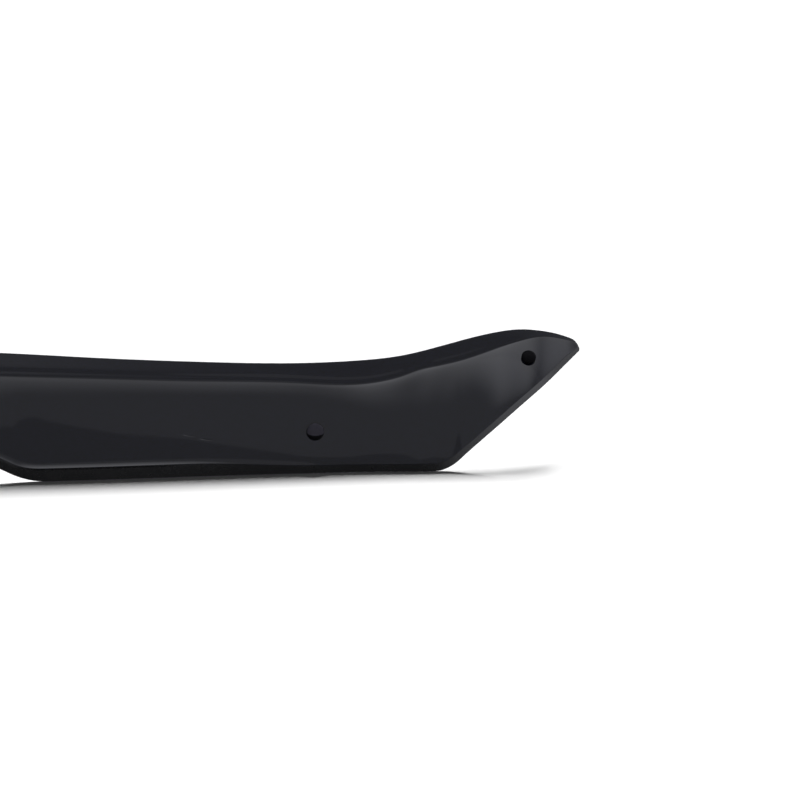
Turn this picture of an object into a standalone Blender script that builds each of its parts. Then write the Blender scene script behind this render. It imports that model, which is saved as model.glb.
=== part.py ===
# Hood bug deflector: one formed gloss shield that wraps the front edge of a vehicle's hood,
# with four round-headed push rivets and the rubber spacer washers behind them.
# Metres, X across the vehicle, front towards -Y, Z up. The shield is symmetric about X = 0.
# The origin is on the centre plane, midway between front and back, level with the lower edge.

import math

import bmesh
import bpy
import numpy as np
from mathutils import Matrix, Vector

# Overall form: the middle stands ahead of the tips by the bow and the corners' sweep
HALF_WIDTH = 0.726
HEIGHT = 0.1185
LIP_HEIGHT = 0.0205
FACE_DEPTH = 0.0435
PLAN_BOW = 0.0738
CORNER_FROM_TIP = 0.296
CORNER_SWEEP = 0.0215
SHEET = 0.0025

# Design sections of one half. Each row: place as a share of the half width, then the top edge's
# height, the lip's height and the depth from lip to arris as shares of those in the middle, then
# the slope of the face under the crease and above the arris in degrees below level, then the
# pull, as a share of the face's chord, that keeps the face straight where it leaves the crease
SECTIONS = (
    (0.000, 1.000, 1.000, 1.000, 47, 80, 0.80),
    (0.262, 0.959, 0.971, 1.000, 47, 80, 0.80),
    (0.386, 0.905, 0.854, 0.931, 47, 80, 0.80),
    (0.510, 0.857, 0.805, 0.846, 45, 80, 0.76),
    (0.640, 0.822, 0.849, 0.839, 40, 80, 0.60),
    (0.716, 0.825, 0.990, 0.908, 34, 80, 0.45),
    (0.771, 0.849, 0.859, 1.046, 31, 80, 0.36),
    (0.799, 0.879, 0.751, 1.126, 30, 79, 0.32),
    (0.847, 0.943, 0.820, 1.184, 30, 75, 0.28),
    (0.895, 0.992, 0.624, 1.138, 32, 66, 0.24),
    (0.926, 0.997, 0.410, 0.989, 35, 57, 0.24),
    (0.950, 0.973, 0.268, 0.816, 36, 51, 0.28),
    (0.975, 0.927, 0.185, 0.437, 37, 47, 0.36),
    (1.000, 0.854, 0.098, 0.000, 38, 44, 0.45),
)

# Lip and the bead pressed along its foot, gentle above its crown and steep below, which stops at
# the gap and dies towards the tip
LIP_LEAN = 0.0025
LIP_SHARE_LIMIT = 0.30
BEAD_RISE = 0.0006
BEAD_WIDTH = 0.0052
BEAD_SHARE_LIMIT = 0.40
CROWN_SHARE = 0.30
BEAD_FOOT = 0.0012
FOOT_SHARE_LIMIT = 0.10
BEAD_GAP_FROM_TIP = 0.151
BEAD_END_FROM_TIP = 0.071
BEAD_FADE = 0.020

# Face: the last of its foot flares forward to a sharp arris, less and less towards the corners
TOE_PULL_SHARE = 0.90
FLARE = 0.0026
FLARE_SHARE = 0.07
FLARE_END_FROM_TIP = 0.300
FLARE_FADE = 0.110

# Lower outline: centre notch, level run, slanted end up to a rounded tip
NOTCH_RISE = 0.026
NOTCH_CORNER = 0.213
NOTCH_ANGLE = 24.7
NOTCH_EASE = 0.016
END_RUN = 0.124
END_EASE = 0.012
END_BOW = 0.0042
TIP_TALL = 0.0080
TIP_RADIUS = 0.0085

# Skirt under the arris: a step back, then an upright band, dying into a narrow turned edge
SKIRT = 0.0150
SKIRT_NOTCH = 0.0112
SKIRT_OUTER = 0.0084
SKIRT_END = 0.0064
SKIRT_THIN_FROM_TIP = 0.316
SKIRT_THIN_RUN = 0.150
SKIRT_BACK = 0.0035
SKIRT_BACK_OUTER = 0.0020
SKIRT_BACK_END = 0.0030
STEP_DROP = 0.0026
STEP_BACK = 0.0030
TIP_FADE = 0.018

# Push rivets, barbed behind the panel, and rubber spacer washers between shield and panel
FACE_RIVET_FROM_TIP = 0.247
FACE_RIVET_RISE = 0.0378
END_RIVET_FROM_TIP = 0.048
END_RIVET_DROP = 0.0145
FACE_HEAD = 0.0160
END_HEAD = 0.0136
HEAD_WALL = 0.0022
HEAD_DOME = 0.0016
SHANK = 0.0060
PANEL_ROOM = 0.0022
BARB_COUNT = 3
BARB_RISE = 0.0007
BARB_SLOPE = 0.0008
BARB_PITCH = 0.0025
SHANK_TIP = 0.0030
WASHER = 0.0150
WASHER_HEIGHT = 0.0040
WASHER_ROUND = 0.0006
CLEARANCE = 0.0003

# Mesh
NOTCH_COLUMNS = 12
END_COLUMNS = 6
TIP_COLUMNS = 6
FACE_POINTS = 7
TURN_STEPS = 24
DOME_STEPS = 4
PROBE = 0.0005
HALVINGS = 40


def smooth_curve(places, values):
    """Natural cubic spline through one half's stations and their mirror images."""
    x = np.concatenate((-np.array(places[:0:-1]), places))
    y = np.concatenate((np.array(values[:0:-1]), values))
    gap, rise = np.diff(x), np.diff(y)
    count = len(x)
    matrix, right = np.eye(count), np.zeros(count)
    for i in range(1, count - 1):
        matrix[i, i - 1:i + 2] = gap[i - 1], 2 * (gap[i - 1] + gap[i]), gap[i]
        right[i] = 6 * (rise[i] / gap[i] - rise[i - 1] / gap[i - 1])
    bend = np.linalg.solve(matrix, right)

    def at(place):
        i = int(np.clip(np.searchsorted(x, place) - 1, 0, count - 2))
        a, b, h = x[i + 1] - place, place - x[i], gap[i]
        return ((bend[i] * a ** 3 + bend[i + 1] * b ** 3) / (6 * h)
                + (y[i] / h - bend[i] * h / 6) * a + (y[i + 1] / h - bend[i + 1] * h / 6) * b)

    return at


STATIONS = [row[0] for row in SECTIONS]
top_share_at, lip_share_at, depth_share_at, fold_at, toe_at, pull_at = (
    smooth_curve(STATIONS, [row[column] for row in SECTIONS]) for column in range(1, 7))


def ease(value):
    """0 before the start, 1 after the end, with level ends."""
    t = min(max(value, 0.0), 1.0)
    return t * t * (3 - 2 * t)


def soft_ramp(distance, reach):
    """The distance past a corner, rounded over the reach to either side."""
    if distance <= -reach:
        return 0.0
    if distance >= reach:
        return distance
    return (distance + reach) ** 2 / (4 * reach)


def from_tip(distance):
    """The x that lies this far in from the tip."""
    return HALF_WIDTH - distance


NOTCH_SLOPE = math.tan(math.radians(NOTCH_ANGLE))
NOTCH_HEAD = NOTCH_CORNER - NOTCH_RISE / NOTCH_SLOPE
END_CORNER = from_tip(END_RUN)
TIP_HEIGHT = HEIGHT * top_share_at(1.0) - TIP_TALL


def sweep(x):
    """How far back the lip's top edge lies at x."""
    past = max(x - from_tip(CORNER_FROM_TIP), 0.0) / CORNER_FROM_TIP
    return PLAN_BOW * (x / HALF_WIDTH) ** 2 + CORNER_SWEEP * past ** 3


def notch_rise(x):
    """Height of the centre notch at x: a ramp with rounded foot and head."""
    climb = soft_ramp(NOTCH_CORNER - x, NOTCH_EASE) - soft_ramp(NOTCH_HEAD - x, NOTCH_EASE)
    return NOTCH_SLOPE * climb


def end_rise(x):
    """Height of the slanted end's edge at x."""
    t = soft_ramp(x - END_CORNER, END_EASE) / END_RUN
    return TIP_HEIGHT * t + 4 * END_BOW * t * (1 - t)


def lower_edge(x):
    return notch_rise(x) + end_rise(x)


def lower_slope(x):
    ahead, behind = min(x + PROBE, HALF_WIDTH), x - PROBE
    return (lower_edge(ahead) - lower_edge(abs(behind))) / (ahead - behind)


def tip_share(x):
    """1 along the shield, 0 at the tip, for what dies out there."""
    return ease((HALF_WIDTH - x) / TIP_FADE)


def thin_share(x):
    """0 along the middle, 1 once the skirt has thinned."""
    return ease((x - from_tip(SKIRT_THIN_FROM_TIP)) / SKIRT_THIN_RUN)


def end_share(x):
    """0 along the level run, 1 once the lower edge has turned up into the slanted end."""
    return ease((x - END_CORNER + END_EASE) / (3 * END_EASE))


def skirt_width(x):
    notch = ease((NOTCH_CORNER + NOTCH_EASE - x) / (2 * NOTCH_EASE))
    width = SKIRT + (SKIRT_OUTER - SKIRT) * thin_share(x) + (SKIRT_NOTCH - SKIRT) * notch
    width += (SKIRT_END - width) * end_share(x)
    return width * ease((HALF_WIDTH - x) / TIP_RADIUS)


def skirt_back(x):
    back = SKIRT_BACK + (SKIRT_BACK_OUTER - SKIRT_BACK) * thin_share(x)
    return back + (SKIRT_BACK_END - back) * end_share(x)


def flare_share(x):
    return 1 - ease((x - from_tip(FLARE_END_FROM_TIP) + FLARE_FADE) / (2 * FLARE_FADE))


def bead_share(x):
    gap = ease(abs(x - from_tip(BEAD_GAP_FROM_TIP)) / BEAD_FADE)
    return gap * (1 - ease((x - from_tip(BEAD_END_FROM_TIP) + BEAD_FADE) / (2 * BEAD_FADE)))


def down(angle):
    """Unit vector in the section plane that falls forward at this slope below level."""
    return np.array((0.0, -math.cos(angle), -math.sin(angle)))


class Section:
    """The shield's outer line at one x, from the lip's top edge to the skirt's lower edge."""

    def __init__(self, x):
        share = x / HALF_WIDTH
        self.x = x
        slope = lower_slope(x)
        stretch = math.hypot(1.0, slope)
        width = skirt_width(x)
        top_height = HEIGHT * top_share_at(share)
        past = max(x - from_tip(TIP_RADIUS), 0.0) / TIP_RADIUS
        top_height -= TIP_RADIUS * (1 - math.sqrt(max(1 - past * past, 0.0)))
        arris_height = min(lower_edge(x) + width * stretch, top_height)
        tall = top_height - arris_height
        lip = min(LIP_HEIGHT * lip_share_at(share), LIP_SHARE_LIMIT * tall)
        lean = LIP_LEAN * min(lip / LIP_HEIGHT, 1.0)
        self.fold, self.toe = math.radians(fold_at(share)), math.radians(toe_at(share))
        self.pull = pull_at(share)
        depth = max(FACE_DEPTH * depth_share_at(share), lean) - notch_rise(x) / math.tan(self.toe)
        back = sweep(x)
        self.top = np.array((x, back, top_height))
        self.crease = np.array((x, back - lean, top_height - lip))
        self.arris = np.array((x, back - depth, arris_height))
        self.flare = FLARE * flare_share(x)
        self.chord = np.linalg.norm(self.arris + (0.0, self.flare, 0.0) - self.crease)
        # The skirt leaves square to the outline and turns back, or runs on flat at the tip
        outward = np.array((slope, 0.0, -1.0)) / stretch
        self.skirt = width * outward
        flat = -width / math.tan(self.toe)
        self.skirt_y = flat + (skirt_back(x) - flat) * tip_share(x)

    def face(self, t):
        """Point of the face between crease (0) and arris (1)."""
        end = self.arris + (0.0, self.flare, 0.0)
        leave = self.pull * self.chord * down(self.fold)
        arrive = TOE_PULL_SHARE * self.chord * down(self.toe)
        point = ((2 * t ** 3 - 3 * t ** 2 + 1) * self.crease + (t ** 3 - 2 * t ** 2 + t) * leave
                 + (3 * t ** 2 - 2 * t ** 3) * end + (t ** 3 - t ** 2) * arrive)
        kick = max(t - 1 + FLARE_SHARE, 0.0) / FLARE_SHARE
        return point - (0.0, self.flare * kick * kick, 0.0)

    def lip(self, rise, proud):
        """Point of the lip this far above the crease, standing forward of it."""
        line = self.top - self.crease
        return self.crease + line * (rise / line[2]) - (0.0, proud, 0.0)

    def lip_points(self):
        line = self.top[2] - self.crease[2]
        if line <= 0:
            return [self.top] * 5
        foot = min(BEAD_FOOT, FOOT_SHARE_LIMIT * line)
        head = foot + min(BEAD_WIDTH, BEAD_SHARE_LIMIT * line)
        proud = BEAD_RISE * bead_share(self.x)
        crown = foot + CROWN_SHARE * (head - foot)
        return [self.top, self.lip((line + head) / 2, 0.0), self.lip(head, 0.0),
                self.lip(crown, proud), self.lip(foot, 0.0)]

    def skirt_points(self):
        step = flare_share(self.x) * np.linalg.norm(self.skirt) / SKIRT
        drop = (1 - step) / 2 + step * STEP_DROP / SKIRT
        rear = (1 - step) * self.skirt_y / 2 + step * STEP_BACK
        return [self.arris + drop * self.skirt + (0.0, rear, 0.0),
                self.arris + self.skirt + (0.0, self.skirt_y, 0.0)]

    def points(self):
        bend = 1 - FLARE_SHARE
        steps = [bend * i / FACE_POINTS for i in range(FACE_POINTS + 1)] + [(bend + 1) / 2, 1.0]
        return self.lip_points() + [self.face(t) for t in steps] + self.skirt_points()


def column_places():
    """Places of the columns along one half, closest where the lower outline turns."""
    stretches = (
        (NOTCH_HEAD - NOTCH_EASE, 4),
        (NOTCH_CORNER + NOTCH_EASE, NOTCH_COLUMNS),
        (from_tip(FACE_RIVET_FROM_TIP), 9),
        (END_CORNER - END_EASE, 8),
        (END_CORNER + END_EASE, END_COLUMNS),
        (from_tip(3 * TIP_RADIUS), 9),
    )
    places, start = [0.0], 0.0
    for end, count in stretches:
        places += [start + (end - start) * (i + 1) / count for i in range(count)]
        start = end
    run = HALF_WIDTH - start
    return places + [start + run * math.sin(math.pi / 2 * (i + 1) / TIP_COLUMNS) for i in range(TIP_COLUMNS)]


FRONT = Section(0.0).arris[1]
BACK = sweep(HALF_WIDTH)
CENTRE = Vector((0.0, (FRONT + BACK) / 2, 0.0))


def new_material(name, colour, roughness):
    material = bpy.data.materials.new(name)
    material.use_nodes = True
    shader = material.node_tree.nodes["Principled BSDF"]
    shader.inputs["Base Color"].default_value = (*colour, 1.0)
    shader.inputs["Roughness"].default_value = roughness
    shader.inputs["Metallic"].default_value = 0.0
    return material


def new_object(name, mesh, collection, material):
    thing = bpy.data.objects.new(name, mesh)
    collection.objects.link(thing)
    mesh.materials.append(material)
    return thing


def shield_mesh():
    """The right half's outer skin, open at the centre plane, its normals facing forward."""
    mesh = bpy.data.meshes.new("shield")
    bm = bmesh.new()
    columns = [[bm.verts.new(Vector(p) - CENTRE) for p in Section(x).points()]
               for x in column_places()[:-1]]
    tip = bm.verts.new(Vector(Section(HALF_WIDTH).top) - CENTRE)
    for left, right in zip(columns, columns[1:]):
        for i in range(len(left) - 1):
            bm.faces.new((left[i], left[i + 1], right[i + 1], right[i]))
    for upper, lower in zip(columns[-1], columns[-1][1:]):
        bm.faces.new((upper, lower, tip))
    bm.to_mesh(mesh)
    bm.free()
    mesh.shade_smooth()
    return mesh


class Seat:
    """Where a fastener sits on the face: its frame's local Z is the face's outward normal."""

    def __init__(self, x, height):
        self.x, self.side = abs(x), math.copysign(1.0, x)
        section = Section(self.x)
        low, high = 0.0, 1.0
        for _ in range(HALVINGS):
            middle = (low + high) / 2
            if section.face(middle)[2] > height:
                low = middle
            else:
                high = middle
        self.t, self.chord = low, section.chord
        along = self.point(PROBE, 0.0) - self.point(-PROBE, 0.0)
        across = self.point(0.0, -PROBE) - self.point(0.0, PROBE)
        normal = along.cross(across).normalized()
        if normal.y > 0:
            normal = -normal
        axis_x = (along - normal * along.dot(normal)).normalized()
        self.frame = Matrix((axis_x, normal.cross(axis_x), normal)).transposed().to_4x4()
        self.frame.translation = self.point(0.0, 0.0)

    def point(self, aside, below):
        """Point of the face this far from the seat along X and down the face."""
        place = Vector(Section(self.x + aside).face(self.t + below / self.chord)) - CENTRE
        place.x *= self.side
        return place

    def heights(self, radius):
        """Lowest and highest point of the face, along the seat's axis, at this radius and at 0."""
        turns = [2 * math.pi * i / TURN_STEPS for i in range(TURN_STEPS)]
        rim = [self.point(radius * math.cos(a), radius * math.sin(a)) for a in turns]
        levels = [(self.frame.inverted() @ place).z for place in rim]
        return min(levels + [0.0]), max(levels + [0.0])


def turned(name, profile, collection, material):
    """A solid turned about local Z from a profile of (radius, height) that runs down its outer side."""
    mesh = bpy.data.meshes.new(name)
    bm = bmesh.new()
    line = [bm.verts.new((radius, 0.0, height)) for radius, height in profile]
    for upper, lower in zip(line, line[1:]):
        bm.edges.new((upper, lower))
    if profile[0][0] > 0:
        bm.edges.new((line[-1], line[0]))
    bm.to_mesh(mesh)
    bm.free()
    thing = new_object(name, mesh, collection, material)
    screw = thing.modifiers.new("turn", "SCREW")
    screw.steps = screw.render_steps = TURN_STEPS
    screw.use_merge_vertices = True
    screw.merge_threshold = 0.00001
    screw.use_smooth_shade = True
    return thing


def washer_top(seat):
    """Height of the washer's upper face: clear of the sheet's curved back out to its rim."""
    return seat.heights(WASHER / 2)[0] - SHEET - CLEARANCE


def rivet_profile(seat, head):
    """Domed head above a short wall, then a shank with barbs behind the panel and a tapered tip."""
    under = seat.heights(head / 2)[1] + CLEARANCE
    radius, shank = head / 2, SHANK / 2
    profile = []
    for i in range(DOME_STEPS + 1):
        angle = math.pi / 2 * i / DOME_STEPS
        profile.append((radius * math.sin(angle), under + HEAD_WALL + HEAD_DOME * math.cos(angle)))
    profile += [(radius, under), (shank, under)]
    height = washer_top(seat) - WASHER_HEIGHT - PANEL_ROOM
    for i in range(BARB_COUNT):
        profile += [(shank, height), (shank + BARB_RISE, height - BARB_SLOPE)]
        height -= BARB_PITCH
    return profile + [(shank - BARB_RISE, height), (shank / 2, height - SHANK_TIP), (0.0, height - SHANK_TIP)]


def washer_profile(seat):
    """Flat rubber ring with eased outer rims."""
    upper = washer_top(seat)
    lower = upper - WASHER_HEIGHT
    inner, outer = SHANK / 2 + CLEARANCE, WASHER / 2
    return [(inner, upper), (outer - WASHER_ROUND, upper), (outer, upper - WASHER_ROUND),
            (outer, lower + WASHER_ROUND), (outer - WASHER_ROUND, lower), (inner, lower)]


def seats():
    """Name and head size of each of the four fasteners, with its seat on the face."""
    face_x, end_x = from_tip(FACE_RIVET_FROM_TIP), from_tip(END_RIVET_FROM_TIP)
    face_z = lower_edge(face_x) + FACE_RIVET_RISE
    end_z = Section(end_x).crease[2] - END_RIVET_DROP
    for kind, x, height, head in (("face", face_x, face_z, FACE_HEAD), ("end", end_x, end_z, END_HEAD)):
        for side, sign in (("left", -1), ("right", 1)):
            yield kind, side, head, Seat(sign * x, height)


def cut_hole(shield, name, frame, cutters):
    """A clearance hole for a rivet's shank, square through the sheet."""
    bpy.ops.mesh.primitive_cylinder_add(vertices=TURN_STEPS, radius=SHANK / 2 + CLEARANCE, depth=8 * SHEET)
    cutter = bpy.context.object
    cutter.name = name
    for home in list(cutter.users_collection):
        home.objects.unlink(cutter)
    cutters.objects.link(cutter)
    cutter.matrix_world = frame
    cutter.hide_render = True
    cutter.display_type = "WIRE"
    hole = shield.modifiers.new(name, "BOOLEAN")
    hole.object = cutter
    hole.operation = "DIFFERENCE"


def build():
    for thing in list(bpy.data.objects):
        bpy.data.objects.remove(thing, do_unlink=True)
    parts = bpy.data.collections.new("hood_bug_deflector")
    cutters = bpy.data.collections.new("cutters")
    for collection in (parts, cutters):
        bpy.context.scene.collection.children.link(collection)

    gloss = new_material("gloss_black", (0.008, 0.008, 0.010), 0.08)
    plastic = new_material("black_plastic", (0.012, 0.011, 0.014), 0.35)
    rubber = new_material("rubber", (0.020, 0.020, 0.020), 0.85)

    shield = new_object("shield", shield_mesh(), parts, gloss)
    mirror = shield.modifiers.new("other half", "MIRROR")
    mirror.merge_threshold = 0.00001
    wall = shield.modifiers.new("sheet", "SOLIDIFY")
    wall.thickness = SHEET
    wall.offset = -1.0
    wall.use_even_offset = True

    for kind, side, head, seat in seats():
        rivet = turned(f"{kind}_rivet_{side}", rivet_profile(seat, head), parts, plastic)
        washer = turned(f"{kind}_washer_{side}", washer_profile(seat), parts, rubber)
        rivet.matrix_world = seat.frame
        washer.matrix_world = seat.frame
        cut_hole(shield, f"{kind}_hole_{side}", seat.frame, cutters)


build()
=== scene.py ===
# Hood bug deflector, dressed for a studio picture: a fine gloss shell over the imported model,
# rounded push rivets and rubber washers, a pale floor and soft light.
import math

import bmesh
import bpy
import numpy as np
from mathutils import Matrix, Vector


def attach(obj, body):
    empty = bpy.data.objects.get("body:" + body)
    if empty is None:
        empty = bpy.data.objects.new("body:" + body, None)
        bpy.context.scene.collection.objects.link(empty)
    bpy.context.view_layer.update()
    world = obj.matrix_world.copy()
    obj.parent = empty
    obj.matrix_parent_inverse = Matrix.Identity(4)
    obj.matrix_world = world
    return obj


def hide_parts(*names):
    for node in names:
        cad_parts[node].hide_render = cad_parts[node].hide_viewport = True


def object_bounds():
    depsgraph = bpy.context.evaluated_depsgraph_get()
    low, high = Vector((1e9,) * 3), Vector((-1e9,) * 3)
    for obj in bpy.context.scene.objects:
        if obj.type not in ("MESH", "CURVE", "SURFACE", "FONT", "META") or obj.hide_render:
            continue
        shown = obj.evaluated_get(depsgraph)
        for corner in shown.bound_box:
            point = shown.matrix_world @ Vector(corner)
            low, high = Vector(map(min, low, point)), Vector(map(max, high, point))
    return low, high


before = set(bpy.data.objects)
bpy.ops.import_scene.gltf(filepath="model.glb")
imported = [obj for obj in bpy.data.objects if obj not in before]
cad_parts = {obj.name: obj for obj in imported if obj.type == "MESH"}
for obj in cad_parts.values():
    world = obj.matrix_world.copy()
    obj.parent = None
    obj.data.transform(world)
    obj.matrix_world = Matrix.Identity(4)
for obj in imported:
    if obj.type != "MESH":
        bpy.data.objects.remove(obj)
cadLow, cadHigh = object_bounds()
print("frame loaded:", len(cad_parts), "nodes")


# The shield's sizes in metres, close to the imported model's. Limits, shares and bands are
# parts of another length, and the notch's angle is in degrees.
shell = {
    "halfWidth": 0.726, "height": 0.1185, "lipHeight": 0.0205, "faceDepth": 0.0435,
    "planBow": 0.0738, "cornerFromTip": 0.296, "cornerSweep": 0.0215,
    "sheet": 0.0025, "tipSheetShare": 0.20, "tipThin": 0.030,
    "lipLean": 0.0025, "lipShareLimit": 0.30, "lipBlend": 0.0012, "lipFloor": 0.60,
    "beadRise": 0.0006, "beadWidth": 0.0052, "beadLimit": 0.40, "beadFoot": 0.0020,
    "footLimit": 0.10, "crownShare": 0.18,
    "beadGapFromTip": 0.151, "beadEndFromTip": 0.071, "beadFade": 0.020,
    "toePull": 0.90,
    "flare": 0.0029, "flareShare": 0.070, "flareEndFromTip": 0.320, "flareFade": 0.110,
    "notchRise": 0.026, "notchCorner": 0.213, "notchAngle": 24.7, "notchEase": 0.016,
    "endRun": 0.124, "endEase": 0.012, "endBow": 0.0044, "tipTall": 0.0086, "tipRadius": 0.0085,
    "skirt": 0.0134, "skirtNotch": 0.0106, "skirtOuter": 0.0082, "skirtEnd": 0.0064,
    "skirtThinFromTip": 0.366, "skirtThinRun": 0.130,
    "skirtBack": 0.0035, "skirtBackOuter": 0.0020, "skirtBackEnd": 0.0030,
    "stepDrop": 0.0026, "stepBack": 0.0030, "tipBand": 0.60, "tipNarrow": 0.016,
}

# Stations along one half: place, top, lip and depth as shares, face slopes in degrees,
# and how straight the face leaves the crease
shellStations = (
    (0.000, 1.000, 1.000, 1.000, 47, 80, 0.80),
    (0.262, 0.959, 0.971, 1.000, 47, 80, 0.80),
    (0.386, 0.905, 0.854, 0.931, 47, 80, 0.80),
    (0.510, 0.857, 0.805, 0.846, 45, 80, 0.76),
    (0.640, 0.822, 0.849, 0.839, 40, 80, 0.60),
    (0.716, 0.825, 1.040, 0.908, 34, 80, 0.45),
    (0.771, 0.849, 0.905, 1.046, 31, 80, 0.36),
    (0.799, 0.879, 0.810, 1.126, 30, 79, 0.32),
    (0.847, 0.943, 0.860, 1.184, 32, 75, 0.28),
    (0.895, 0.992, 0.690, 1.138, 35, 66, 0.24),
    (0.926, 0.997, 0.490, 0.989, 37, 57, 0.24),
    (0.950, 0.973, 0.268, 0.816, 36, 51, 0.28),
    (0.975, 0.927, 0.185, 0.437, 37, 47, 0.36),
    (1.000, 0.854, 0.098, 0.000, 38, 44, 0.45),
)

# How finely the shell is drawn, and how its corners are rounded. Each stretch of columns
# has the x where it ends and its number of columns.
shellFinish = {
    "columns": ((0.140, 22), (0.230, 34), (0.479, 52), (0.591, 40), (0.620, 20), (0.706, 64),
                (0.7259, 40)),
    "lipSteps": 4, "beadSteps": 8, "faceStart": 0.06, "faceSteps": 30,
    "flareSteps": 8, "skirtSteps": 3, "cornerSteps": 4,
    "rimRound": 0.0007, "creaseRound": 0.0018, "arrisRound": 0.0005, "stepRound": 0.0005,
    "backRound": 0.0012, "cornerReach": 0.40, "supportRatio": 1.3, "supportReach": 0.48,
    "shortStrip": 2e-5, "foldLimit": 0.60,
}
mergeDistance = 1e-6


def easeTo(value):
    t = min(max(value, 0.0), 1.0)
    return t * t * (3 - 2 * t)


# 0 before a corner and the distance after it, eased over the reach on both sides
def softRamp(distance, reach):
    if distance <= -reach:
        return 0.0
    if distance >= reach:
        return distance
    return (distance + reach) ** 2 / (4 * reach)


# the smaller of two heights, eased where they are close
def softLimit(value, limit):
    blend = shell["lipBlend"]
    middle = (value + limit - math.sqrt((value - limit) ** 2 + blend * blend)) / 2
    return max(middle, min(value, limit) * shell["lipFloor"])


# natural cubic spline over one half's stations and their mirror images
def splineThrough(places, values):
    x = np.concatenate((-np.array(places[:0:-1]), places))
    y = np.concatenate((np.array(values[:0:-1]), values))
    gap, rise = np.diff(x), np.diff(y)
    count = len(x)
    matrix, right = np.eye(count), np.zeros(count)
    for i in range(1, count - 1):
        matrix[i, i - 1:i + 2] = gap[i - 1], 2 * (gap[i - 1] + gap[i]), gap[i]
        right[i] = 6 * (rise[i] / gap[i] - rise[i - 1] / gap[i - 1])
    bend = np.linalg.solve(matrix, right)

    def at(place):
        i = int(np.clip(np.searchsorted(x, place) - 1, 0, count - 2))
        a, b, h = x[i + 1] - place, place - x[i], gap[i]
        return ((bend[i] * a ** 3 + bend[i + 1] * b ** 3) / (6 * h)
                + (y[i] / h - bend[i] * h / 6) * a + (y[i + 1] / h - bend[i + 1] * h / 6) * b)

    return at


places = [row[0] for row in shellStations]
topShare, lipShare, depthShare, foldAngle, toeAngle, foldPull = (
    splineThrough(places, [row[column] for row in shellStations]) for column in range(1, 7))


def fromTip(distance):
    return shell["halfWidth"] - distance


notchSlope = math.tan(math.radians(shell["notchAngle"]))
notchHead = shell["notchCorner"] - shell["notchRise"] / notchSlope
endCorner = fromTip(shell["endRun"])
tipHeight = shell["height"] * topShare(1.0) - shell["tipTall"]


def sweepBack(x):
    past = max(x - fromTip(shell["cornerFromTip"]), 0.0) / shell["cornerFromTip"]
    return shell["planBow"] * (x / shell["halfWidth"]) ** 2 + shell["cornerSweep"] * past ** 3


def notchRise(x):
    reach = shell["notchEase"]
    return notchSlope * (softRamp(shell["notchCorner"] - x, reach) - softRamp(notchHead - x, reach))


def lowerEdge(x):
    t = softRamp(x - endCorner, shell["endEase"]) / shell["endRun"]
    return notchRise(x) + tipHeight * t + 4 * shell["endBow"] * t * (1 - t)


def lowerSlope(x, probe=0.0005):
    ahead, behind = min(x + probe, shell["halfWidth"]), x - probe
    return (lowerEdge(ahead) - lowerEdge(abs(behind))) / (ahead - behind)


def skirtShape(x):
    thin = easeTo((x - fromTip(shell["skirtThinFromTip"])) / shell["skirtThinRun"])
    end = easeTo((x - endCorner + shell["endEase"]) / (3 * shell["endEase"]))
    notch = easeTo((shell["notchCorner"] + shell["notchEase"] - x) / (2 * shell["notchEase"]))
    width = shell["skirt"] + (shell["skirtOuter"] - shell["skirt"]) * thin
    width += (shell["skirtNotch"] - shell["skirt"]) * notch
    width += (shell["skirtEnd"] - width) * end
    back = shell["skirtBack"] + (shell["skirtBackOuter"] - shell["skirtBack"]) * thin
    back += (shell["skirtBackEnd"] - back) * end
    narrow = shell["tipBand"] + (1 - shell["tipBand"]) * easeTo(fromTip(x) / shell["tipNarrow"])
    return width * narrow, back * narrow


# 1 towards the centre, 0 beyond a place measured from the tip
def fadeOut(x, endFromTip, fade):
    return 1 - easeTo((x - fromTip(endFromTip) + fade) / (2 * fade))


def flareShare(x):
    return fadeOut(x, shell["flareEndFromTip"], shell["flareFade"])


def beadShare(x):
    gap = easeTo(abs(x - fromTip(shell["beadGapFromTip"])) / shell["beadFade"])
    return gap * fadeOut(x, shell["beadEndFromTip"], shell["beadFade"])


def fallForward(angle):
    return np.array((0.0, -math.cos(angle), -math.sin(angle)))


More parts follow.
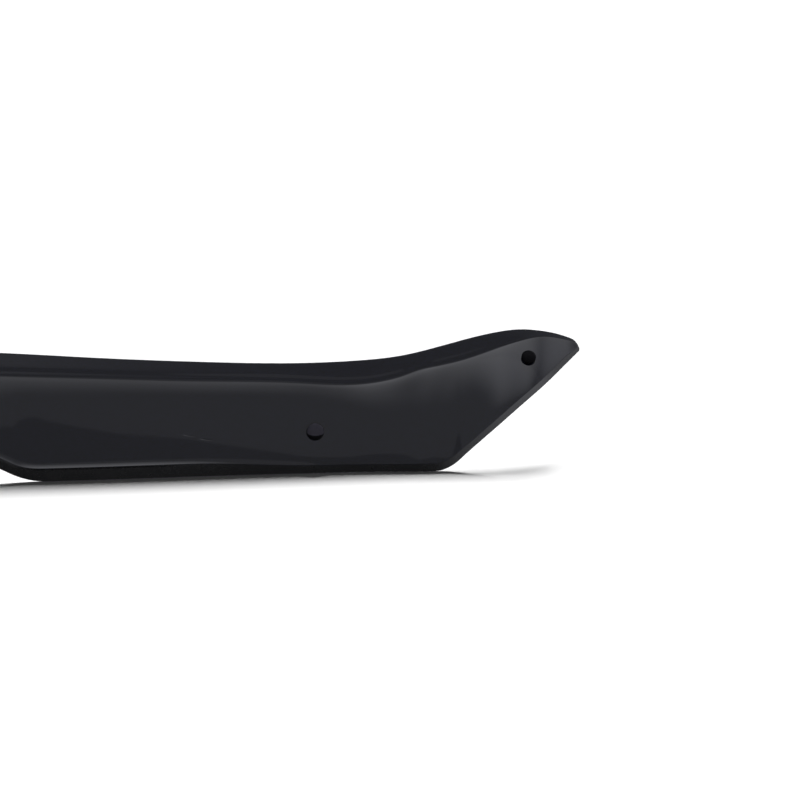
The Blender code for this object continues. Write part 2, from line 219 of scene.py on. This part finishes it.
# One cross-section's outer line: lip, crease, face, arris and skirt at a given x
class ShellSection:
    def __init__(self, x):
        share = x / shell["halfWidth"]
        self.x = x
        slope = lowerSlope(x)
        stretch = math.hypot(1.0, slope)
        width, self.skirtY = skirtShape(x)
        top = shell["height"] * topShare(share)
        past = max(x - fromTip(shell["tipRadius"]), 0.0) / shell["tipRadius"]
        top -= shell["tipRadius"] * (1 - math.sqrt(max(1 - past * past, 0.0)))
        arrisHeight = min(lowerEdge(x) + width * stretch, top)
        headroom = shell["lipShareLimit"] * (top - arrisHeight)
        lip = softLimit(shell["lipHeight"] * lipShare(share), headroom)
        lean = shell["lipLean"] * min(lip / shell["lipHeight"], 1.0)
        self.fold, self.toe = math.radians(foldAngle(share)), math.radians(toeAngle(share))
        self.pull = foldPull(share)
        depth = max(shell["faceDepth"] * depthShare(share), lean)
        depth -= notchRise(x) / math.tan(self.toe)
        y = sweepBack(x)
        self.top = np.array((x, y, top))
        self.crease = np.array((x, y - lean, top - lip))
        self.arris = np.array((x, y - depth, arrisHeight))
        self.flare = shell["flare"] * flareShare(x)
        self.chord = np.linalg.norm(self.arris + (0.0, self.flare, 0.0) - self.crease)
        self.skirt = width * np.array((slope, 0.0, -1.0)) / stretch

    def face(self, t):
        end = self.arris + (0.0, self.flare, 0.0)
        leave = self.pull * self.chord * fallForward(self.fold)
        arrive = shell["toePull"] * self.chord * fallForward(self.toe)
        point = ((2 * t ** 3 - 3 * t ** 2 + 1) * self.crease + (t ** 3 - 2 * t ** 2 + t) * leave
                 + (3 * t ** 2 - 2 * t ** 3) * end + (t ** 3 - t ** 2) * arrive)
        kick = max(t - 1 + shell["flareShare"], 0.0) / shell["flareShare"]
        return point - (0.0, self.flare * kick * kick, 0.0)

    def lipAt(self, rise, proud=0.0):
        line = self.top - self.crease
        if line[2] < 1e-9:  # no lip is left at the tip
            return self.top
        return self.crease + line * (rise / line[2]) - (0.0, proud, 0.0)

    # the outer line's points, each with the rounding it gets
    def keys(self):
        line = max(self.top[2] - self.crease[2], 0.0)
        foot = min(shell["beadFoot"], shell["footLimit"] * line)
        head = foot + min(shell["beadWidth"], shell["beadLimit"] * line)
        proud = shell["beadRise"] * beadShare(self.x)
        points, rounds = [self.top], [shellFinish["rimRound"]]
        for i in range(1, shellFinish["lipSteps"]):
            points.append(self.lipAt(line + (head - line) * i / shellFinish["lipSteps"]))
        crown = foot + shell["crownShare"] * (head - foot)
        steps = shellFinish["beadSteps"]
        for i in range(steps + 1):
            u = i / steps
            points.append(self.lipAt(head + (crown - head) * u, proud * easeTo(u)))
        start = proud / max(self.pull * self.chord * math.cos(self.fold), 1e-6)
        rounds += [0.0] * (len(points) - 1)
        points.append(self.face(start))
        rounds.append(shellFinish["creaseRound"])
        bend = 1 - shell["flareShare"]
        first = start + shellFinish["faceStart"]
        steps, flareSteps = shellFinish["faceSteps"], shellFinish["flareSteps"]
        face = [first + (bend - first) * i / steps for i in range(steps)]
        face += [bend + shell["flareShare"] * i / flareSteps for i in range(flareSteps)]
        points += [self.face(t) for t in face]
        rounds += [0.0] * len(face)
        points.append(self.arris)
        rounds.append(shellFinish["arrisRound"])
        step = flareShare(self.x) * np.linalg.norm(self.skirt) / shell["skirt"]
        drop = (1 - step) / 2 + step * shell["stepDrop"] / shell["skirt"]
        rear = (1 - step) * self.skirtY / 2 + step * shell["stepBack"]
        inner = self.arris + drop * self.skirt + (0.0, rear, 0.0)
        edge = self.arris + self.skirt + (0.0, self.skirtY, 0.0)
        points.append(inner)
        rounds.append(shellFinish["stepRound"])
        for i in range(1, shellFinish["skirtSteps"]):
            points.append(inner + (edge - inner) * i / shellFinish["skirtSteps"])
            rounds.append(0.0)
        points.append(edge)
        rounds.append(shellFinish["rimRound"])
        return np.array(points), rounds


def columnPlaces():
    found, start = [0.0], 0.0
    for end, count in shellFinish["columns"][:-1]:
        found += [start + (end - start) * (i + 1) / count for i in range(count)]
        start = end
    end, count = shellFinish["columns"][-1]
    turns = [math.pi / 2 * (i + 1) / count for i in range(count)]  # closer and closer to the tip
    return found + [start + (end - start) * math.sin(turn) for turn in turns]


modelCentre = np.array((0.0, (ShellSection(0.0).arris[1] + sweepBack(shell["halfWidth"])) / 2, 0.0))


def unit(v):
    return v / np.maximum(np.linalg.norm(v, axis=-1, keepdims=True), 1e-12)


# back skin: every point goes in by the sheet's thickness, square to the strips that meet there
def backSkin(front, thickness):
    strip = np.diff(front, axis=1)
    along = np.gradient(front, axis=0)
    along = (along[:, 1:] + along[:, :-1]) / 2
    normal = unit(np.cross(along, strip))
    short = np.linalg.norm(strip, axis=-1) < shellFinish["shortStrip"]
    for c in range(1, len(front)):  # a strip too short for a normal takes its neighbour's
        normal[c, short[c]] = normal[c - 1, short[c]]
    before = np.concatenate((normal[:, :1], normal), axis=1)
    after = np.concatenate((normal, normal[:, -1:]), axis=1)
    share = 1 + (before * after).sum(axis=-1, keepdims=True)
    inward = (before + after) / np.maximum(share, shellFinish["foldLimit"])
    return front + np.array(thickness)[:, None, None] * inward


# closed loops of points, one a column, with each marked corner turned into a small arc
# between two rows that keep the flats beside it flat
def roundLoops(loops, rounds):
    steps, count, rows = shellFinish["cornerSteps"], len(rounds), []
    for k, radius in enumerate(rounds):
        here = loops[:, k]
        if radius <= 0:
            rows.append(here)
            continue
        ends, supports = [], []
        for other in (loops[:, k - 1], loops[:, (k + 1) % count]):
            toward = other - here
            reach = np.maximum(np.linalg.norm(toward, axis=-1, keepdims=True), 1e-9)
            ends.append(here + toward * np.minimum(radius / reach, shellFinish["cornerReach"]))
            wider = shellFinish["supportRatio"] * radius / reach
            supports.append(here + toward * np.minimum(wider, shellFinish["supportReach"]))
        rows.append(supports[0])
        for i in range(steps + 1):
            t = i / steps
            rows.append((1 - t) ** 2 * ends[0] + 2 * t * (1 - t) * here + t * t * ends[1])
        rows.append(supports[1])
    return np.stack(rows, axis=1)


def addPiece(name, mesh, *materials):
    piece = bpy.data.objects.new(name, mesh)
    bpy.context.scene.collection.objects.link(piece)
    for material in materials:
        mesh.materials.append(material)
    return piece


def cleanUp(bm):
    bmesh.ops.remove_doubles(bm, verts=bm.verts, dist=mergeDistance)
    bmesh.ops.recalc_face_normals(bm, faces=bm.faces)


def nodeIn(tree, kind, **values):
    node = tree.nodes.new(kind)
    for key, value in values.items():
        setattr(node, key, value)
    return node


def newMaterial(name):
    material = bpy.data.materials.new(name)
    material.use_nodes = True
    tree = material.node_tree
    return material, tree, tree.nodes["Principled BSDF"]


def remapped(tree, value, start, end, before, after, kind="SMOOTHSTEP"):
    ramp = nodeIn(tree, "ShaderNodeMapRange", interpolation_type=kind)
    ramp.inputs["From Min"].default_value, ramp.inputs["From Max"].default_value = start, end
    ramp.inputs["To Min"].default_value, ramp.inputs["To Max"].default_value = before, after
    tree.links.new(value, ramp.inputs["Value"])
    return ramp.outputs["Result"]


# a chain of sums, begun with a plain number
def addedUp(tree, values, start=0.0):
    total = None
    for value in values:
        add = nodeIn(tree, "ShaderNodeMath", operation="ADD")
        add.inputs[1].default_value = start
        tree.links.new(value, add.inputs[0])
        if total is not None:
            tree.links.new(total, add.inputs[1])
        total = add.outputs["Value"]
    return total


noiseMiddle = (0.3, 0.7)  # the part of the noise that is spread over a range


# noise in object space, spread over a range, and as it comes
def noiseRange(tree, scale, detail, low=0.0, high=1.0, stretch=(1.0, 1.0, 1.0)):
    place = nodeIn(tree, "ShaderNodeTexCoord")
    mapping = nodeIn(tree, "ShaderNodeMapping")
    mapping.inputs["Scale"].default_value = stretch
    noise = nodeIn(tree, "ShaderNodeTexNoise")
    noise.inputs["Scale"].default_value = scale
    noise.inputs["Detail"].default_value = detail
    tree.links.new(place.outputs["Object"], mapping.inputs["Vector"])
    tree.links.new(mapping.outputs["Vector"], noise.inputs["Vector"])
    raw = noise.outputs["Fac"]
    return remapped(tree, raw, *noiseMiddle, low, high, "LINEAR"), raw


def mixColours(tree, factor, first, second):
    mix = nodeIn(tree, "ShaderNodeMix", data_type="RGBA")
    mix.inputs[6].default_value = (*first, 1.0)
    mix.inputs[7].default_value = (*second, 1.0)
    tree.links.new(factor, mix.inputs[0])
    return mix.outputs[2]


# bump laid over any bump that the shader has already
def addBump(tree, shader, height, strength, distance, invert=False):
    bump = nodeIn(tree, "ShaderNodeBump", invert=invert)
    bump.inputs["Strength"].default_value = strength
    bump.inputs["Distance"].default_value = distance
    for earlier in [link.from_socket for link in shader.inputs["Normal"].links]:
        tree.links.new(earlier, bump.inputs["Normal"])
    tree.links.new(height, bump.inputs["Height"])
    tree.links.new(bump.outputs["Normal"], shader.inputs["Normal"])


# Each finish has two base colours and a range of roughness. Tone, wear and ripple are the
# scale and detail of the noise behind colour, roughness and bump, and bump and groove have
# a strength and a distance in metres. Without a ripple the tone's noise makes the bump.
glossBlack = {
    "low": (0.0038, 0.0046, 0.0108), "high": (0.0046, 0.0052, 0.0112), "tone": (9.0, 4.0),
    "rough": (0.04, 0.08), "wear": (30.0, 6.0), "stretch": (1.0, 1.0, 2.5), "gloss": 0.50,
    "ripple": (14.0, 2.0), "bump": (0.02, 0.002), "groove": (1.0, 0.0028), "ior": 1.5,
}
satinBand = {
    "low": (0.0050, 0.0050, 0.0056), "high": (0.0085, 0.0084, 0.0088), "tone": (220.0, 5.0),
    "rough": (0.22, 0.30), "wear": (60.0, 3.0), "gloss": 0.50, "bump": (0.05, 0.0003),
}

# the face rivets' tops are grey, everything else about the rivets is near black; on the face
# rivets' faces turned down that near black is also painted shade beneath the head
greyTopPlastic = {
    "low": (0.040, 0.038, 0.052), "high": (0.048, 0.046, 0.061), "tone": (600.0, 3.0),
    "rough": (0.42, 0.52), "wear": (180.0, 3.0), "gloss": 0.20, "bump": (0.12, 0.0003),
}
blackPlasticAndShade = {
    "low": (0.0015, 0.0014, 0.0020), "high": (0.0030, 0.0028, 0.0036), "tone": (600.0, 3.0),
    "rough": (0.42, 0.52), "wear": (180.0, 3.0), "gloss": 0.05, "bump": (0.12, 0.0003),
}
washerRubber = {
    "low": (0.014, 0.014, 0.014), "high": (0.032, 0.031, 0.030), "tone": (350.0, 5.0),
    "rough": (0.70, 0.92), "wear": (120.0, 4.0), "gloss": 0.50, "bump": (0.25, 0.0004),
}

# Two short scratches low on the face, each with its middle's x and z, half length and half
# height in metres. Tilt is in degrees, and core is the part of the width at full depth.
scuffs = {
    "places": ((0.3618, 0.0384, 0.0055, 0.0007), (0.3780, 0.0344, 0.0060, 0.0008)),
    "tilt": 8.0, "core": 0.5,
}


def scuffMask(tree):
    place = nodeIn(tree, "ShaderNodeTexCoord")
    depths = []
    for middleX, middleZ, halfLength, halfHeight in scuffs["places"]:
        mapping = nodeIn(tree, "ShaderNodeMapping", vector_type="TEXTURE")
        mapping.inputs["Location"].default_value = (middleX, 0.0, middleZ)
        mapping.inputs["Rotation"].default_value = (0.0, math.radians(scuffs["tilt"]), 0.0)
        mapping.inputs["Scale"].default_value = (halfLength, 1.0, halfHeight)
        length = nodeIn(tree, "ShaderNodeVectorMath", operation="LENGTH")
        tree.links.new(place.outputs["Object"], mapping.inputs["Vector"])
        tree.links.new(mapping.outputs["Vector"], length.inputs[0])
        depths.append(remapped(tree, length.outputs["Value"], scuffs["core"], 1.0, 1.0, 0.0))
    return addedUp(tree, depths)


def makeFinish(name, look):
    material, tree, shader = newMaterial(name)
    tone, grain = noiseRange(tree, *look["tone"])
    rough, _ = noiseRange(tree, *look["wear"], *look["rough"], look.get("stretch", (1.0, 1.0, 1.0)))
    if "ripple" in look:
        _, grain = noiseRange(tree, *look["ripple"])
    tree.links.new(mixColours(tree, tone, look["low"], look["high"]), shader.inputs["Base Color"])
    tree.links.new(rough, shader.inputs["Roughness"])
    shader.inputs["Specular IOR Level"].default_value = look["gloss"]
    addBump(tree, shader, grain, *look["bump"])
    return material


def makeGlossBlack():
    material = makeFinish("glossBlack", glossBlack)
    tree = material.node_tree
    shader = tree.nodes["Principled BSDF"]
    shader.inputs["IOR"].default_value = glossBlack["ior"]
    addBump(tree, shader, scuffMask(tree), *glossBlack["groove"], invert=True)  # scratches cut in
    return material


gloss, satin = makeGlossBlack(), makeFinish("satinBand", satinBand)
greyTop = makeFinish("greyTopPlastic", greyTopPlastic)
blackAndShade = makeFinish("blackPlasticAndShade", blackPlasticAndShade)
rubber = makeFinish("washerRubber", washerRubber)
print("materials made")


def makeShell():
    found = columnPlaces()
    sections = [ShellSection(x).keys() for x in found]
    rounds = sections[0][1]
    right = np.stack([points for points, _ in sections]) - modelCentre
    left = right[:0:-1] * (-1.0, 1.0, 1.0)
    front = np.concatenate((left, right))
    thinnest = shell["tipSheetShare"]
    shares = [thinnest + (1 - thinnest) * easeTo(fromTip(x) / shell["tipThin"]) for x in found]
    thick = [shell["sheet"] * share for share in shares]
    back = backSkin(front, thick[:0:-1] + thick)
    creaseAt = rounds.index(shellFinish["creaseRound"])
    backRounds = [0.0] * len(rounds)
    backRounds[0] = backRounds[-1] = shellFinish["rimRound"]
    backRounds[creaseAt] = shellFinish["backRound"]
    loops = np.concatenate((front, back[:, ::-1]), axis=1)
    loops = roundLoops(loops, rounds + backRounds[::-1])
    loops = np.clip(loops, cadLow, cadHigh)

    mesh = bpy.data.meshes.new("shieldShell")
    bm = bmesh.new()
    rings = [[bm.verts.new(p) for p in loop] for loop in loops]
    count = len(rings[0])
    extra = shellFinish["cornerSteps"] + 2  # rows that each rounded corner adds
    skirtFirst = rounds.index(shellFinish["arrisRound"]) + 3 * extra  # past rim, crease, arris
    skirtLast = len(rounds) + 4 * extra  # and the step
    for here, there in zip(rings, rings[1:]):
        for i in range(count):
            j = (i + 1) % count
            face = bm.faces.new((here[i], here[j], there[j], there[i]))
            face.material_index = int(skirtFirst <= i + 1 <= skirtLast)  # satin under the arris
    bm.faces.new(rings[0][::-1])
    bm.faces.new(rings[-1])
    cleanUp(bm)
    bm.to_mesh(mesh)
    bm.free()
    mesh.shade_smooth()
    print("shell:", len(mesh.vertices), "points", len(mesh.polygons), "faces")
    return mesh


shieldShell = addPiece("shieldShell", makeShell(), gloss, satin)
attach(shieldShell, "root")
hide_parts("shield")


# Where the fasteners sit, in metres, and how closely their places are searched for
seats = {
    "faceFromTip": 0.247, "faceRise": 0.0378, "endFromTip": 0.048, "endDrop": 0.0145,
    "clearance": 0.0003, "probe": 0.0005, "halvings": 40, "rimSteps": 24,
}

# A face rivet's top takes the grey material where its normal is at least topFacing along the rivet,
# and points not too far down; faces turned further down take the near-black material as painted
# shade
rivets = {
    "faceHead": 0.0160, "endHead": 0.0136, "wall": 0.0022, "dome": 0.0016, "shank": 0.0060,
    "panelRoom": 0.0022, "barbCount": 3, "barbRise": 0.0007, "barbSlope": 0.0008,
    "barbPitch": 0.0025, "barbRound": 0.0001, "shankTip": 0.0030, "round": 0.0004,
    "turns": 96, "domeSteps": 14, "topFacing": 0.70, "shadeFacing": -0.12,
}
washers = {"size": 0.0150, "height": 0.0040, "round": 0.0009, "turns": 96}


class FaceSeat:
    def __init__(self, x, height):
        self.x, self.side = abs(x), math.copysign(1.0, x)
        section = ShellSection(self.x)
        low, high = 0.0, 1.0
        for _ in range(seats["halvings"]):
            middle = (low + high) / 2
            if section.face(middle)[2] > height:
                low = middle
            else:
                high = middle
        self.t, self.chord = low, section.chord
        probe = seats["probe"]
        along = self.point(probe, 0.0) - self.point(-probe, 0.0)
        across = self.point(0.0, -probe) - self.point(0.0, probe)
        normal = along.cross(across).normalized()
        if normal.y > 0:
            normal = -normal
        sideways = (along - normal * along.dot(normal)).normalized()
        self.frame = Matrix((sideways, normal.cross(sideways), normal)).transposed().to_4x4()
        self.frame.translation = self.point(0.0, 0.0)

    def point(self, aside, below):
        place = Vector(ShellSection(self.x + aside).face(self.t + below / self.chord) - modelCentre)
        place.x *= self.side
        return place

    # how far the face lies below and above the seat's plane within a radius
    def heights(self, radius):
        steps = seats["rimSteps"]
        turns = [2 * math.pi * i / steps for i in range(steps)]
        rim = [self.point(radius * math.cos(a), radius * math.sin(a)) for a in turns]
        levels = [(self.frame.inverted() @ place).z for place in rim]
        return min(levels + [0.0]), max(levels + [0.0])

    def washerTop(self):
        return self.heights(washers["size"] / 2)[0] - shell["sheet"] - seats["clearance"]


# a profile of (radius, height, rounding) turned about the seat's axis, closed where it
# starts off the axis
def turnedPiece(name, profile, turns, seat, *materials):
    flat = np.array([[(radius, 0.0, height) for radius, height, _ in profile]])
    line = roundLoops(flat, [rounding for _, _, rounding in profile])[0]
    mesh = bpy.data.meshes.new(name)
    bm = bmesh.new()
    closed = profile[0][0] > 0
    ring = [bm.verts.new(point) for point in line]
    edges = [bm.edges.new(pair) for pair in zip(ring, ring[1:])]
    if closed:
        edges.append(bm.edges.new((ring[-1], ring[0])))
    bmesh.ops.spin(bm, geom=ring + edges, cent=(0, 0, 0), axis=(0, 0, 1), angle=2 * math.pi,
                   steps=turns, use_duplicate=False)
    cleanUp(bm)
    up = math.copysign(1.0, (seat.frame.to_3x3().inverted() @ Vector((0, 0, 1))).y)
    for face in bm.faces:
        # faces turned down take the second, near-black material: painted shade beneath the rivet
        # head
        under = face.normal.z < rivets["topFacing"] or up * face.normal.y < rivets["shadeFacing"]
        face.material_index = int(len(materials) > 1 and under)
    bm.transform(seat.frame)
    bm.to_mesh(mesh)
    bm.free()
    mesh.shade_smooth()
    piece = addPiece(name, mesh, *materials)
    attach(piece, "root")
    return piece


def rivetProfile(seat, head):
    under = seat.heights(head / 2)[1] + seats["clearance"]
    radius, shank = head / 2, rivets["shank"] / 2
    profile = []
    for i in range(rivets["domeSteps"] + 1):
        angle = math.pi / 2 * i / rivets["domeSteps"]
        rise = rivets["wall"] + rivets["dome"] * math.cos(angle)
        profile.append((radius * math.sin(angle), under + rise, 0.0))
    profile += [(radius, under, rivets["round"]), (shank, under, 0.0)]
    height = seat.washerTop() - washers["height"] - rivets["panelRoom"]
    for _ in range(rivets["barbCount"]):
        proud, fall = shank + rivets["barbRise"], height - rivets["barbSlope"]
        profile += [(shank, height, 0.0), (proud, fall, rivets["barbRound"])]
        height -= rivets["barbPitch"]
    return profile + [(shank - rivets["barbRise"], height, 0.0),
                      (shank / 2, height - rivets["shankTip"], rivets["round"]),
                      (0.0, height - rivets["shankTip"], 0.0)]


def washerProfile(seat):
    upper = seat.washerTop()
    lower = upper - washers["height"]
    inner, outer = rivets["shank"] / 2 + seats["clearance"], washers["size"] / 2
    soft = washers["round"]
    return [(inner, upper, soft / 2), (outer, upper, soft),
            (outer, lower, soft), (inner, lower, soft / 2)]


def makeFasteners():
    faceX, endX = fromTip(seats["faceFromTip"]), fromTip(seats["endFromTip"])
    faceZ = lowerEdge(faceX) + seats["faceRise"]
    endZ = ShellSection(endX).crease[2] - seats["endDrop"]
    for kind, x, height in (("face", faceX, faceZ), ("end", endX, endZ)):
        for side, sign in (("Left", -1), ("Right", 1)):
            seat = FaceSeat(sign * x, height)
            # face rivets: grey top and near-black body, with painted shade on the faces turned down
            looks = (greyTop, blackAndShade) if kind == "face" else (blackAndShade,)
            profile = rivetProfile(seat, rivets[f"{kind}Head"])
            rivet = turnedPiece(f"{kind}Rivet{side}", profile, rivets["turns"], seat, *looks)
            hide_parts(f"{kind}_rivet_{side.lower()}")
            profile = washerProfile(seat)
            washer = turnedPiece(f"{kind}Washer{side}", profile, washers["turns"], seat, rubber)
            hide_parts(f"{kind}_washer_{side.lower()}")


makeFasteners()
print("rivets and washers made")


# Floor, studio light and camera: lengths in metres, angles in degrees
stage = {"floorSize": 9.0, "floor": (0.90, 0.90, 0.90), "rough": 0.90, "drop": 0.0002}
sun = {"elevation": 56.0, "angle": 24.0, "strength": 4.8}
card = {"place": (0.927, -1.0, 2.737), "size": (3.0, 4.0), "turn": -31.4, "glow": 0.15}

# The room as the gloss sees it: base above and low beneath, blended between two heights on
# the sky, each with soft lobes of light around a direction. Fill is its light on matt things.
room = {
    "tint": (0.98, 0.99, 1.06), "base": 0.364, "low": 0.15,
    "lowest": -0.10, "highest": -0.02, "fill": 0.05,
}
upperLobes = {
    "overhead": {"azimuth": 30, "elevation": 86, "inner": 0, "outer": 27, "gain": 1.7},
    "front": {"azimuth": 17, "elevation": 63, "inner": 0, "outer": 16, "gain": 0.50},
    "side": {"azimuth": 115, "elevation": 48, "inner": 0, "outer": 45, "gain": 1.1},
    "ahead": {"azimuth": 0, "elevation": -8, "inner": 0, "outer": 17, "gain": 0.50},
}
lowerLobes = {
    "floorRight": {"azimuth": 85, "elevation": -5, "inner": 10, "outer": 75, "gain": 1.4},
    "floorLeft": {"azimuth": -85, "elevation": -5, "inner": 10, "outer": 75, "gain": 1.4},
}

# Width is what the picture spans at the target, length and sensor are in millimetres
lens = {
    "target": (0.558, -0.0282, 0.0700), "elevation": 15.0, "width": 0.744,
    "length": 600.0, "sensor": 36.0, "clip": (0.5, 100.0),
}


def directionTo(azimuth, elevation):
    turn, lift = math.radians(azimuth), math.radians(elevation)
    flat = math.cos(lift)
    return Vector((math.sin(turn) * flat, -math.cos(turn) * flat, math.sin(lift)))


def makeFloor():
    mesh = bpy.data.meshes.new("floor")
    bm = bmesh.new()
    bmesh.ops.create_grid(bm, x_segments=2, y_segments=2, size=stage["floorSize"] / 2)
    bm.to_mesh(mesh)
    bm.free()
    material, _, shader = newMaterial("paleFloor")
    shader.inputs["Base Color"].default_value = (*stage["floor"], 1.0)
    shader.inputs["Roughness"].default_value = stage["rough"]
    shader.inputs["Specular IOR Level"].default_value = 0.0
    floor = addPiece("floor", mesh, material)
    floor.location.z = -stage["drop"]
    floor.visible_glossy = False  # the room's lower half stands in for it


def addLamp(name, kind, **values):
    data = bpy.data.lights.new(name, kind)
    for key, value in values.items():
        setattr(data, key, value)
    lamp = bpy.data.objects.new(name, data)
    bpy.context.scene.collection.objects.link(lamp)
    lamp.visible_camera = False
    return lamp


def makeLights():
    back = addLamp("back", "SUN", energy=sun["strength"], angle=math.radians(sun["angle"]))
    back.rotation_euler = directionTo(180, sun["elevation"]).to_track_quat("Z", "Y").to_euler()
    back.visible_glossy = False
    width, height = card["size"]
    front = addLamp("front", "AREA", shape="RECTANGLE", size=width, size_y=height,
                    energy=card["glow"] * math.pi * width * height)
    front.location = card["place"]
    # upright, and turned in its own plane
    front.rotation_euler = (math.radians(90), math.radians(card["turn"]), 0.0)
    front.data.color = room["tint"]
    front.visible_diffuse = False


# brightness as a sum of lobes, each falling off around its own direction
def lobeSum(tree, direction, lobes, base):
    glows = []
    for lobe in lobes.values():
        dot = nodeIn(tree, "ShaderNodeVectorMath", operation="DOT_PRODUCT")
        dot.inputs[1].default_value = directionTo(lobe["azimuth"], lobe["elevation"])
        angle = nodeIn(tree, "ShaderNodeMath", operation="ARCCOSINE")
        tree.links.new(direction, dot.inputs[0])
        tree.links.new(dot.outputs["Value"], angle.inputs[0])
        inner, outer = math.radians(lobe["inner"]), math.radians(lobe["outer"])
        glows.append(remapped(tree, angle.outputs["Value"], inner, outer, lobe["gain"], 0.0))
    return addedUp(tree, glows, base)


def makeSky():
    world = bpy.data.worlds.new("studio")
    bpy.context.scene.world = world
    world.use_nodes = True
    tree = world.node_tree
    seen = tree.nodes["Background"]
    mirrored, fill = nodeIn(tree, "ShaderNodeBackground"), nodeIn(tree, "ShaderNodeBackground")
    for light, strength in ((seen, 1.0), (mirrored, 1.0), (fill, room["fill"])):
        light.inputs["Color"].default_value = (1.0, 1.0, 1.0, 1.0)
        light.inputs["Strength"].default_value = strength
    mirrored.inputs["Color"].default_value = (*room["tint"], 1.0)
    direction = nodeIn(tree, "ShaderNodeTexCoord").outputs["Generated"]
    split = nodeIn(tree, "ShaderNodeSeparateXYZ")
    tree.links.new(direction, split.inputs[0])
    horizon = remapped(tree, split.outputs["Z"], room["lowest"], room["highest"], 0.0, 1.0)
    blend = nodeIn(tree, "ShaderNodeMix", data_type="FLOAT")
    tree.links.new(horizon, blend.inputs[0])
    tree.links.new(lobeSum(tree, direction, lowerLobes, room["low"]), blend.inputs[2])
    tree.links.new(lobeSum(tree, direction, upperLobes, room["base"]), blend.inputs[3])
    tree.links.new(blend.outputs[0], mirrored.inputs["Strength"])
    path = nodeIn(tree, "ShaderNodeLightPath")
    unseen, mix = nodeIn(tree, "ShaderNodeMixShader"), nodeIn(tree, "ShaderNodeMixShader")
    tree.links.new(path.outputs["Is Glossy Ray"], unseen.inputs[0])
    tree.links.new(fill.outputs[0], unseen.inputs[1])
    tree.links.new(mirrored.outputs[0], unseen.inputs[2])
    tree.links.new(path.outputs["Is Camera Ray"], mix.inputs[0])
    tree.links.new(unseen.outputs[0], mix.inputs[1])
    tree.links.new(seen.outputs[0], mix.inputs[2])
    tree.links.new(mix.outputs[0], tree.nodes["World Output"].inputs["Surface"])


def makeCamera():
    data = bpy.data.cameras.new("camera")
    data.lens, data.sensor_width = lens["length"], lens["sensor"]
    camera = bpy.data.objects.new("camera", data)
    bpy.context.scene.collection.objects.link(camera)
    tilt = math.radians(lens["elevation"])
    away = Vector((0.0, -math.cos(tilt), math.sin(tilt)))
    distance = lens["width"] * lens["length"] / lens["sensor"]
    camera.location = Vector(lens["target"]) + away * distance
    camera.rotation_euler = (-away).to_track_quat("-Z", "Y").to_euler()
    data.clip_start, data.clip_end = lens["clip"]
    bpy.context.scene.camera = camera


makeFloor()
makeLights()
makeSky()
makeCamera()
bpy.context.scene.view_settings.view_transform = "Standard"
print("stage set")
